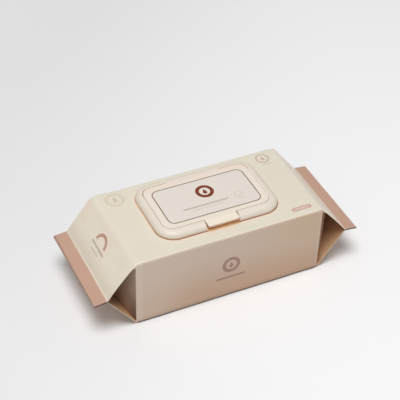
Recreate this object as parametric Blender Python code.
"""A wet wipes pack: a folded film pouch with gusseted ends, its stack of wipes,
and a moulded flip lid on a frame over the dispensing opening.

Metres, +Z up. X runs along the pack, -Y is the side with the lid's tab.
The origin is on the surface that the pack lies on, under the middle of the pouch.
"""

import math

import bmesh
import bpy
from mathutils import Vector

MM = 0.001

# Film pouch
BODY_LENGTH = 196 * MM        # between the two end folds
BODY_WIDTH = 107 * MM
BODY_HEIGHT = 77 * MM
FILM = 0.6 * MM               # wall of the pouch
EDGE_ROUND = 2.5 * MM         # radius of the four long edges
GABLE_REACH = 29 * MM         # from the end fold out to the end seal
SEAL_HEIGHT = 40 * MM         # the end seal above the base
SEAL_THICKNESS = 1.0 * MM     # all layers of film in the end seal
GUSSET_DEPTH = 37 * MM        # how far the side is tucked in at the end seal
FIN_LENGTH = 13.4 * MM        # the flat sealed strip at each end
FIN_DROOP = math.radians(7)   # how far that strip hangs below level
SEAM_WIDTH = 11 * MM          # the long seam, folded flat against the base
SEAM_GROOVE = 0.35 * MM       # width and depth of the line at the seam's edges
POCKET_INSET = 2.0 * MM       # film layers inside the tucked corner
MOUTH_LENGTH = 72 * MM        # opening cut in the film under the lid
MOUTH_WIDTH = 28 * MM

# Wipes
REST_GAP = 0.3 * MM           # between a piece and what it lies on
STACK_END_CLEARANCE = 3.0 * MM
STACK_SIDE_CLEARANCE = 2.0 * MM
STACK_ROUND = 2.0 * MM        # radius of the stack's edges
TOP_WIPE = 0.6 * MM           # thickness of the top wipe, as folded on the stack
TOP_WIPE_INSET = 2.0 * MM     # the top wipe's edge inside the stack's side
TOP_WIPE_CORNER = 4.0 * MM
TUFT_LENGTH = 38 * MM         # the pulled-up edge of the top wipe
TUFT_WIDTH = 15 * MM
TUFT_SHORTENING = 0.4         # share of its length that the tuft loses towards its top
TUFT_LEVELS = ((1.0, 0.0), (0.86, 0.3), (0.62, 0.7), (0.34, 1.0))  # share of width, share of height
TUFT_HEADROOM = 1.0 * MM      # from the wipe up to the closed lid

# Lid frame, a moulding bonded to the top of the pouch
CAP_X = -1.2 * MM             # middle of the frame on the pouch
CAP_Y = 3.6 * MM
FRAME_LENGTH = 130 * MM
FRAME_WIDTH = 82 * MM
FRAME_CORNER = 19 * MM
FRAME_EDGE = 1.0 * MM         # height of the upright outer edge
BAND_WIDTH = 8.6 * MM         # rounded border around the flap
BAND_HEIGHT = 6.5 * MM
CREST_WIDTH = 0.8 * MM        # flat top of the border
WALL = 1.2 * MM               # wall and floor of the frame
THROAT_LENGTH = 80 * MM       # opening in the frame
THROAT_WIDTH = 36 * MM
LIP_HEIGHT = 4.0 * MM         # sealing lip around the opening
LIP_WALL = 1.2 * MM

# Flap, hinged at its back edge
FLAP_GAP = 0.4 * MM           # all round, between the flap and the border
FLAP_PROUD = 0.5 * MM         # flap's top above the border's crest
FLAP_PLATE = 1.4 * MM
FLAP_EDGE_ROUND = 0.6 * MM
SKIRT_WALL = 1.0 * MM
RIB_WALL = 1.0 * MM           # rib under the flap, around the lip
RIB_GAP = 0.7 * MM
RIB_OVERLAP = 0.6 * MM        # how far the rib reaches below the lip's top
TAB_WIDTH = 33 * MM
TAB_OVERHANG = 1.4 * MM       # past the frame's front edge
TAB_THICKNESS = 1.5 * MM
TAB_SINK = 0.15 * MM          # tab's top below the flap's top
TAB_GAP = 0.55 * MM           # between the tab and the ends of the border
TAB_HOOK = 1.3 * MM           # how far the tab's front edge turns down
TAB_HOOK_WALL = 1.2 * MM
TAB_ROUND = 0.6 * MM
CATCH_WIDTH = 14 * MM         # rib on the frame that the tab closes over
CATCH_DEPTH = 1.2 * MM
CATCH_HEIGHT = 2.0 * MM
SNAP_WALL = 1.0 * MM          # rib under the tab, in front of the catch
SNAP_OVERLAP = 1.0 * MM       # how far it reaches below the catch's top
SNAP_GAP = 0.3 * MM           # between that rib and the catch

# Printed label let into the flap
LABEL_SIDE_MARGIN = 7.0 * MM
LABEL_FRONT_MARGIN = 5.2 * MM
LABEL_BACK_MARGIN = 7.6 * MM
LABEL_CORNER = 7.0 * MM
LABEL_THICKNESS = 0.35 * MM
LABEL_EDGE_GAP = 0.3 * MM

CORNER_STEPS = 6              # segments in a quarter circle seen from above
EDGE_STEPS = 3                # segments in a small rounded edge
BAND_STEPS = 5                # segments across the border's rounded top
SMALLEST_RADIUS = 0.01 * MM
CUT_OVERRUN = 1.2 * MM        # how far a cutter reaches past what it cuts
SAME_POINT = 0.001 * MM
SAME_PLANE = math.radians(0.1)
SMOOTH_ANGLE = math.radians(35)

END_X = BODY_LENGTH / 2
SIDE_Y = BODY_WIDTH / 2
SEAL_X = END_X + GABLE_REACH
FRAME_BASE = BODY_HEIGHT + REST_GAP
FLOOR_TOP = FRAME_BASE + WALL
LIP_TOP = FRAME_BASE + LIP_HEIGHT
CREST = FRAME_BASE + BAND_HEIGHT
FLAP_TOP = CREST + FLAP_PROUD
FLAP_UNDER = FLAP_TOP - FLAP_PLATE
SKIRT_BOTTOM = FLOOR_TOP + REST_GAP
FRAME_FRONT = CAP_Y - FRAME_WIDTH / 2
FLAP_LENGTH = FRAME_LENGTH - 2 * (BAND_WIDTH + FLAP_GAP)
FLAP_WIDTH = FRAME_WIDTH - 2 * (BAND_WIDTH + FLAP_GAP)
FLAP_CORNER = FRAME_CORNER - BAND_WIDTH - FLAP_GAP
FLAP_FRONT = CAP_Y - FLAP_WIDTH / 2
HINGE_Y = CAP_Y + FLAP_WIDTH / 2 + FLAP_GAP
HINGE_Z = CREST
TAB_TOP = FLAP_TOP - TAB_SINK
TAB_UNDER = TAB_TOP - TAB_THICKNESS
TAB_FRONT = FRAME_FRONT - TAB_OVERHANG
TAB_BACK = FLAP_FRONT + SKIRT_WALL / 2
NOTCH_HALF = TAB_WIDTH / 2 + TAB_GAP
CATCH_Y = FRAME_FRONT + BAND_WIDTH / 2
CATCH_TOP = FLOOR_TOP + CATCH_HEIGHT
STACK_BASE = FILM + SEAM_GROOVE + REST_GAP
STACK_LENGTH = BODY_LENGTH - 2 * STACK_END_CLEARANCE
STACK_WIDTH = BODY_WIDTH - 2 * STACK_SIDE_CLEARANCE
TOP_WIPE_TOP = BODY_HEIGHT - FILM - REST_GAP
TOP_WIPE_BASE = TOP_WIPE_TOP - TOP_WIPE
STACK_TOP = TOP_WIPE_BASE - REST_GAP
TUFT_TOP = FLAP_UNDER - TUFT_HEADROOM


def clear_scene():
    """Leaves an empty scene."""
    for old in list(bpy.data.objects):
        bpy.data.objects.remove(old)


def finish_material(name, colour, roughness):
    """A plain plastic, film or paper finish."""
    material = bpy.data.materials.new(name)
    material.use_nodes = True
    shader = material.node_tree.nodes["Principled BSDF"]
    shader.inputs["Base Color"].default_value = (*colour, 1)
    shader.inputs["Roughness"].default_value = roughness
    shader.inputs["Metallic"].default_value = 0
    material.diffuse_color = (*colour, 1)
    return material


def new_object(name, shape, material=None):
    """Turns a bmesh into an object with all its faces pointing out."""
    bmesh.ops.recalc_face_normals(shape, faces=shape.faces)
    mesh = bpy.data.meshes.new(name)
    shape.to_mesh(mesh)
    shape.free()
    made = bpy.data.objects.new(name, mesh)
    bpy.context.scene.collection.objects.link(made)
    if material:
        mesh.materials.append(material)
    return made


def cutter_of(made):
    """Marks an object as a cutter or an added block, which is not a piece itself."""
    made.hide_render = True
    made.display_type = "WIRE"
    return made


def combine(target, other, operation):
    """Adds a Boolean modifier to the target."""
    step = target.modifiers.new(operation.lower() + "_" + other.name, "BOOLEAN")
    step.operation = operation
    step.object = cutter_of(other)
    step.solver = "EXACT"


def rounded_rectangle(length, width, radius, z, centre=(CAP_X, CAP_Y)):
    """Points of a rounded rectangle seen from above, anticlockwise from its right side."""
    widest = min(length, width) / 2 - SMALLEST_RADIUS
    radius = max(min(radius, widest), SMALLEST_RADIUS)
    points = []
    for corner, (sx, sy) in enumerate(((1, 1), (-1, 1), (-1, -1), (1, -1))):
        cx = centre[0] + sx * (length / 2 - radius)
        cy = centre[1] + sy * (width / 2 - radius)
        for step in range(CORNER_STEPS + 1):
            angle = (corner + step / CORNER_STEPS) * math.pi / 2
            points.append(Vector((cx + radius * math.cos(angle), cy + radius * math.sin(angle), z)))
    return points


def skin_loops(loops, closed_ring):
    """Joins loops of equal length into one surface: a closed ring, or a solid with two end faces."""
    shape = bmesh.new()
    rows = [[shape.verts.new(point) for point in loop] for loop in loops]
    pairs = list(zip(rows, rows[1:]))
    if closed_ring:
        pairs.append((rows[-1], rows[0]))
    else:
        shape.faces.new(rows[0])
        shape.faces.new(rows[-1])
    for low, high in pairs:
        count = len(low)
        for i in range(count):
            j = (i + 1) % count
            shape.faces.new((low[i], low[j], high[j], high[i]))
    return shape


def box_shape(low, high):
    """A plain block between two corners."""
    shape = bmesh.new()
    bmesh.ops.create_cube(shape, size=1)
    for corner in shape.verts:
        corner.co = Vector(
            (low[i] + (corner.co[i] + 0.5) * (high[i] - low[i]) for i in range(3))
        )
    return shape


def end_section(inset, radius):
    """The pouch's rounded cross-section in Y and Z, anticlockwise seen from +X.

    Each corner gives EDGE_STEPS + 1 points, in the order front base, back base, back top, front top.
    """
    points = []
    low = inset
    high = BODY_HEIGHT - inset
    half = SIDE_Y - inset
    corners = ((-1, low + radius, 180), (1, low + radius, 270), (1, high - radius, 0), (-1, high - radius, 90))
    for side, z, start in corners:
        y = side * (half - radius)
        for step in range(EDGE_STEPS + 1):
            angle = math.radians(start + 90 * step / EDGE_STEPS)
            points.append((y + radius * math.cos(angle), z + radius * math.sin(angle)))
    return points


def pouch_outside():
    """The closed outer surface of the pouch, folds, tucked corners and end seals included."""
    shape = bmesh.new()
    section = end_section(0, EDGE_ROUND)
    per_corner = EDGE_STEPS + 1
    rings = {}
    for end in (-1, 1):
        rings[end] = [shape.verts.new((end * END_X, y, z)) for y, z in section]
    count = len(section)
    for i in range(count):
        j = (i + 1) % count
        shape.faces.new((rings[-1][i], rings[-1][j], rings[1][j], rings[1][i]))
    for end, ring in rings.items():
        corner = [ring[k * per_corner:(k + 1) * per_corner] for k in range(4)]
        base_front, base_back, top_back, top_front = corner
        fin_x = end * (SEAL_X + FIN_LENGTH * math.cos(FIN_DROOP))
        fin_z = SEAL_HEIGHT - FIN_LENGTH * math.sin(FIN_DROOP)
        half = SEAL_THICKNESS / 2
        seal = {}
        for side in (-1, 1):
            y = side * SIDE_Y
            seal[side] = {
                "top": shape.verts.new((end * SEAL_X, y, SEAL_HEIGHT + half)),
                "middle": shape.verts.new((end * SEAL_X, y, SEAL_HEIGHT)),
                "base": shape.verts.new((end * SEAL_X, y, SEAL_HEIGHT - half)),
                "tuck": shape.verts.new((end * SEAL_X, side * (SIDE_Y - GUSSET_DEPTH), SEAL_HEIGHT)),
                "fin_top": shape.verts.new((fin_x, y, fin_z + half)),
                "fin_base": shape.verts.new((fin_x, y, fin_z - half)),
            }
        sides = (
            (seal[-1], top_front, list(reversed(base_front))),
            (seal[1], list(reversed(top_back)), base_back),
        )
        for at, over, under in sides:
            for a, b in zip(over, over[1:]):
                shape.faces.new((a, b, at["top"]))
            for a, b in zip(under, under[1:]):
                shape.faces.new((a, b, at["base"]))
            upper = over[-1] if abs(over[-1].co.y) > abs(over[0].co.y) else over[0]
            lower = under[0] if abs(under[0].co.y) > abs(under[-1].co.y) else under[-1]
            shape.faces.new((upper, at["middle"], at["top"]))
            shape.faces.new((upper, at["tuck"], at["middle"]))
            shape.faces.new((upper, lower, at["tuck"]))
            shape.faces.new((lower, at["middle"], at["tuck"]))
            shape.faces.new((lower, at["base"], at["middle"]))
            shape.faces.new((at["top"], at["middle"], at["base"], at["fin_base"], at["fin_top"]))
        shape.faces.new((top_back[-1], top_front[0], seal[-1]["top"], seal[1]["top"]))
        shape.faces.new((base_front[-1], base_back[0], seal[1]["base"], seal[-1]["base"]))
        shape.faces.new((seal[-1]["top"], seal[1]["top"], seal[1]["fin_top"], seal[-1]["fin_top"]))
        shape.faces.new((seal[-1]["base"], seal[1]["base"], seal[1]["fin_base"], seal[-1]["fin_base"]))
        shape.faces.new((seal[-1]["fin_top"], seal[1]["fin_top"], seal[1]["fin_base"], seal[-1]["fin_base"]))
    return shape


def pouch_inside():
    """The space inside the pouch: a box with a wedge at each end, one wall inside the outer surface."""
    shape = bmesh.new()
    section = end_section(FILM, max(EDGE_ROUND - FILM, SMALLEST_RADIUS))
    floor = FILM + SEAM_GROOVE
    for end in (-1, 1):
        for y, z in section:
            shape.verts.new((end * (END_X - FILM), y, max(z, floor)))
        for side in (-1, 1):
            tip_x = end * (SEAL_X - POCKET_INSET)
            shape.verts.new((tip_x, side * (SIDE_Y - GUSSET_DEPTH - POCKET_INSET), SEAL_HEIGHT))
    bmesh.ops.remove_doubles(shape, verts=shape.verts, dist=SAME_POINT)
    bmesh.ops.convex_hull(shape, input=shape.verts)
    loose = [v for v in shape.verts if not v.link_faces]
    bmesh.ops.delete(shape, geom=loose, context="VERTS")
    bmesh.ops.dissolve_limit(shape, angle_limit=SAME_PLANE, verts=shape.verts, edges=shape.edges)
    return shape


def make_pouch(film):
    """The film pouch: one printed sheet, folded, seamed along the base and sealed at both ends."""
    pouch = new_object("film_pouch", pouch_outside(), film)
    combine(pouch, new_object("pouch_space", pouch_inside()), "DIFFERENCE")
    mouth = [
        rounded_rectangle(MOUTH_LENGTH, MOUTH_WIDTH, MOUTH_WIDTH / 2, z)
        for z in (BODY_HEIGHT - FILM - CUT_OVERRUN, BODY_HEIGHT + CUT_OVERRUN)
    ]
    combine(pouch, new_object("mouth_cut", skin_loops(mouth, False)), "DIFFERENCE")
    for side in (-1, 1):
        y = side * SEAM_WIDTH / 2
        low = (-END_X + EDGE_ROUND, y - SEAM_GROOVE / 2, -SEAM_GROOVE)
        high = (END_X - EDGE_ROUND, y + SEAM_GROOVE / 2, SEAM_GROOVE)
        combine(pouch, new_object(f"seam_line_{side + 2}", box_shape(low, high)), "DIFFERENCE")
    return pouch


def make_wipe_stack(cloth):
    """The folded wipes under the top one, as one block."""
    low = (-STACK_LENGTH / 2, -STACK_WIDTH / 2, STACK_BASE)
    high = (STACK_LENGTH / 2, STACK_WIDTH / 2, STACK_TOP)
    shape = box_shape(low, high)
    bmesh.ops.bevel(shape, geom=shape.edges, offset=STACK_ROUND, segments=2, profile=0.5, affect="EDGES")
    return new_object("wipe_stack", shape, cloth)


def make_top_wipe(cloth):
    """The top wipe: a thin sheet on the stack, with its edge pulled up into a low fold in the opening."""
    sheet = (STACK_LENGTH - 2 * TOP_WIPE_INSET, STACK_WIDTH - 2 * TOP_WIPE_INSET, TOP_WIPE_CORNER)
    loops = [rounded_rectangle(*sheet, z, (0, 0)) for z in (TOP_WIPE_BASE, TOP_WIPE_TOP)]
    rise = TUFT_TOP - TOP_WIPE_TOP
    for share, height in TUFT_LEVELS:
        length = TUFT_LENGTH * (1 - TUFT_SHORTENING * (1 - share))
        width = TUFT_WIDTH * share
        loops.append(rounded_rectangle(length, width, width / 2, TOP_WIPE_TOP + rise * height))
    return new_object("top_wipe", skin_loops(loops, False), cloth)


def frame_loop(inset, z):
    """A loop parallel to the frame's outline."""
    return rounded_rectangle(
        FRAME_LENGTH - 2 * inset, FRAME_WIDTH - 2 * inset, FRAME_CORNER - inset, FRAME_BASE + z
    )


def band_curve(wall):
    """Inset and height along the border's rounded top, or along its inside if wall is given."""
    across = BAND_WIDTH - CREST_WIDTH - wall
    rise = BAND_HEIGHT - FRAME_EDGE - wall / 2
    points = []
    for step in range(BAND_STEPS + 1):
        angle = math.pi / 2 * step / BAND_STEPS
        points.append((wall + across * (1 - math.cos(angle)), FRAME_EDGE - wall / 2 + rise * math.sin(angle)))
    return points


def make_lid_frame(plastic):
    """The frame: a hollow rounded border, a floor with the opening, its sealing lip and the catch."""
    loops = [frame_loop(0, 0)]
    loops += [frame_loop(inset, z) for inset, z in band_curve(0)]
    loops.append(frame_loop(BAND_WIDTH, BAND_HEIGHT))
    loops.append(frame_loop(BAND_WIDTH, WALL))
    around = 2 * LIP_WALL
    outer = (THROAT_LENGTH + around, THROAT_WIDTH + around, (THROAT_WIDTH + around) / 2)
    inner = (THROAT_LENGTH, THROAT_WIDTH, THROAT_WIDTH / 2)
    loops.append(rounded_rectangle(*outer, FLOOR_TOP))
    loops.append(rounded_rectangle(*outer, LIP_TOP))
    loops.append(rounded_rectangle(*inner, LIP_TOP))
    loops.append(rounded_rectangle(*inner, FRAME_BASE))
    frame = new_object("lid_frame", skin_loops(loops, True), plastic)

    hollow = [frame_loop(WALL, -CUT_OVERRUN)]
    hollow += [frame_loop(inset, z) for inset, z in band_curve(WALL)]
    hollow.append(frame_loop(BAND_WIDTH - WALL, -CUT_OVERRUN))
    space = new_object("border_space", skin_loops(hollow, True))
    keep_half = NOTCH_HALF + WALL
    keep_low = (CAP_X - keep_half, FRAME_FRONT - CUT_OVERRUN, FRAME_BASE - 2 * CUT_OVERRUN)
    keep_high = (CAP_X + keep_half, FRAME_FRONT + BAND_WIDTH + CUT_OVERRUN, CREST + CUT_OVERRUN)
    combine(space, new_object("notch_walls", box_shape(keep_low, keep_high)), "DIFFERENCE")
    combine(frame, space, "DIFFERENCE")

    notch_low = (CAP_X - NOTCH_HALF, FRAME_FRONT - CUT_OVERRUN, FLOOR_TOP)
    notch_high = (CAP_X + NOTCH_HALF, FRAME_FRONT + BAND_WIDTH + FLAP_GAP / 2, CREST + CUT_OVERRUN)
    combine(frame, new_object("tab_notch", box_shape(notch_low, notch_high)), "DIFFERENCE")

    catch_low = (CAP_X - CATCH_WIDTH / 2, CATCH_Y - CATCH_DEPTH / 2, FRAME_BASE + WALL / 2)
    catch_high = (CAP_X + CATCH_WIDTH / 2, CATCH_Y + CATCH_DEPTH / 2, CATCH_TOP)
    combine(frame, new_object("catch", box_shape(catch_low, catch_high)), "UNION")
    return frame


def flap_loop(inset, z):
    """A loop parallel to the flap's outline."""
    return rounded_rectangle(FLAP_LENGTH - 2 * inset, FLAP_WIDTH - 2 * inset, FLAP_CORNER - inset, z)


def label_loop(grow, z):
    """A loop parallel to the label's outline."""
    length = FLAP_LENGTH - 2 * LABEL_SIDE_MARGIN + 2 * grow
    width = FLAP_WIDTH - LABEL_FRONT_MARGIN - LABEL_BACK_MARGIN + 2 * grow
    centre = (CAP_X, CAP_Y + (LABEL_FRONT_MARGIN - LABEL_BACK_MARGIN) / 2)
    return rounded_rectangle(length, width, LABEL_CORNER + grow, z, centre)


def make_lid_flap(plastic):
    """The flap: a plate with a rounded edge, a skirt, a rib that closes round the lip, and the tab."""
    seat_z = FLAP_TOP - LABEL_THICKNESS - REST_GAP
    rib_bottom = LIP_TOP - RIB_OVERLAP
    loops = [label_loop(LABEL_EDGE_GAP, seat_z), label_loop(LABEL_EDGE_GAP, FLAP_TOP)]
    for step in range(EDGE_STEPS + 1):
        angle = math.pi / 2 * step / EDGE_STEPS
        inset = FLAP_EDGE_ROUND * (1 - math.sin(angle))
        loops.append(flap_loop(inset, FLAP_TOP - FLAP_EDGE_ROUND * (1 - math.cos(angle))))
    loops.append(flap_loop(0, SKIRT_BOTTOM))
    loops.append(flap_loop(SKIRT_WALL, SKIRT_BOTTOM))
    loops.append(flap_loop(SKIRT_WALL, FLAP_UNDER))
    for around in (LIP_WALL + RIB_GAP + RIB_WALL, LIP_WALL + RIB_GAP):
        size = (THROAT_LENGTH + 2 * around, THROAT_WIDTH + 2 * around, THROAT_WIDTH / 2 + around)
        levels = (FLAP_UNDER, rib_bottom)
        if around == LIP_WALL + RIB_GAP:
            levels = (rib_bottom, FLAP_UNDER)
        for z in levels:
            loops.append(rounded_rectangle(*size, z))
    flap = new_object("lid_flap", skin_loops(loops, False), plastic)

    combine(flap, new_object("tab", tab_shape()), "UNION")

    snap_back = CATCH_Y - CATCH_DEPTH / 2 - SNAP_GAP
    snap_low = (CAP_X - CATCH_WIDTH / 2, snap_back - SNAP_WALL, CATCH_TOP - SNAP_OVERLAP)
    snap_high = (CAP_X + CATCH_WIDTH / 2, snap_back, TAB_UNDER + TAB_THICKNESS / 2)
    combine(flap, new_object("snap_rib", box_shape(snap_low, snap_high)), "UNION")
    return flap


def tab_shape():
    """The tab: a plate across the border, with its front edge rounded and turned down."""
    profile = [(TAB_BACK, TAB_TOP)]
    for step in range(EDGE_STEPS + 1):
        angle = math.pi / 2 * step / EDGE_STEPS
        y = TAB_FRONT + TAB_ROUND * (1 - math.sin(angle))
        profile.append((y, TAB_TOP - TAB_ROUND * (1 - math.cos(angle))))
    profile += [
        (TAB_FRONT, TAB_UNDER - TAB_HOOK),
        (TAB_FRONT + TAB_HOOK_WALL, TAB_UNDER - TAB_HOOK),
        (TAB_FRONT + TAB_HOOK_WALL, TAB_UNDER),
        (TAB_BACK, TAB_UNDER),
    ]
    shape = bmesh.new()
    ends = []
    for side in (-1, 1):
        x = CAP_X + side * TAB_WIDTH / 2
        ends.append([shape.verts.new((x, y, z)) for y, z in profile])
        shape.faces.new(ends[-1])
    for i in range(len(profile)):
        j = (i + 1) % len(profile)
        shape.faces.new((ends[0][i], ends[0][j], ends[1][j], ends[1][i]))
    return shape


def make_label(paper):
    """The printed label, let into the flap's top."""
    low = FLAP_TOP - LABEL_THICKNESS
    return new_object("lid_label", skin_loops([label_loop(0, low), label_loop(0, FLAP_TOP)], False), paper)


def smooth_round_faces(made):
    """Shades rounded stretches smooth and keeps real edges sharp."""
    made.data.shade_smooth()
    made.data.set_sharp_from_angle(angle=SMOOTH_ANGLE)


def set_hinge(pieces):
    """Hangs the moving pieces on the hinge's axis, with their own origins on it."""
    axis = Vector((CAP_X, HINGE_Y, HINGE_Z))
    hinge = bpy.data.objects.new("lid_hinge", None)
    hinge.location = axis
    bpy.context.scene.collection.objects.link(hinge)
    for piece in pieces:
        for part in [piece] + [m.object for m in piece.modifiers if m.type == "BOOLEAN"]:
            for vertex in part.data.vertices:
                vertex.co -= axis
            part.parent = hinge


def main():
    clear_scene()
    film = finish_material("printed_film", (0.80, 0.72, 0.60), 0.42)
    plastic = finish_material("cream_plastic", (0.84, 0.78, 0.68), 0.3)
    cloth = finish_material("wet_cloth", (0.93, 0.93, 0.91), 0.6)
    paper = finish_material("label_print", (0.82, 0.75, 0.68), 0.35)
    pieces = [
        make_pouch(film),
        make_wipe_stack(cloth),
        make_top_wipe(cloth),
        make_lid_frame(plastic),
    ]
    moving = [make_lid_flap(plastic), make_label(paper)]
    set_hinge(moving)
    for piece in pieces + moving:
        smooth_round_faces(piece)


main()
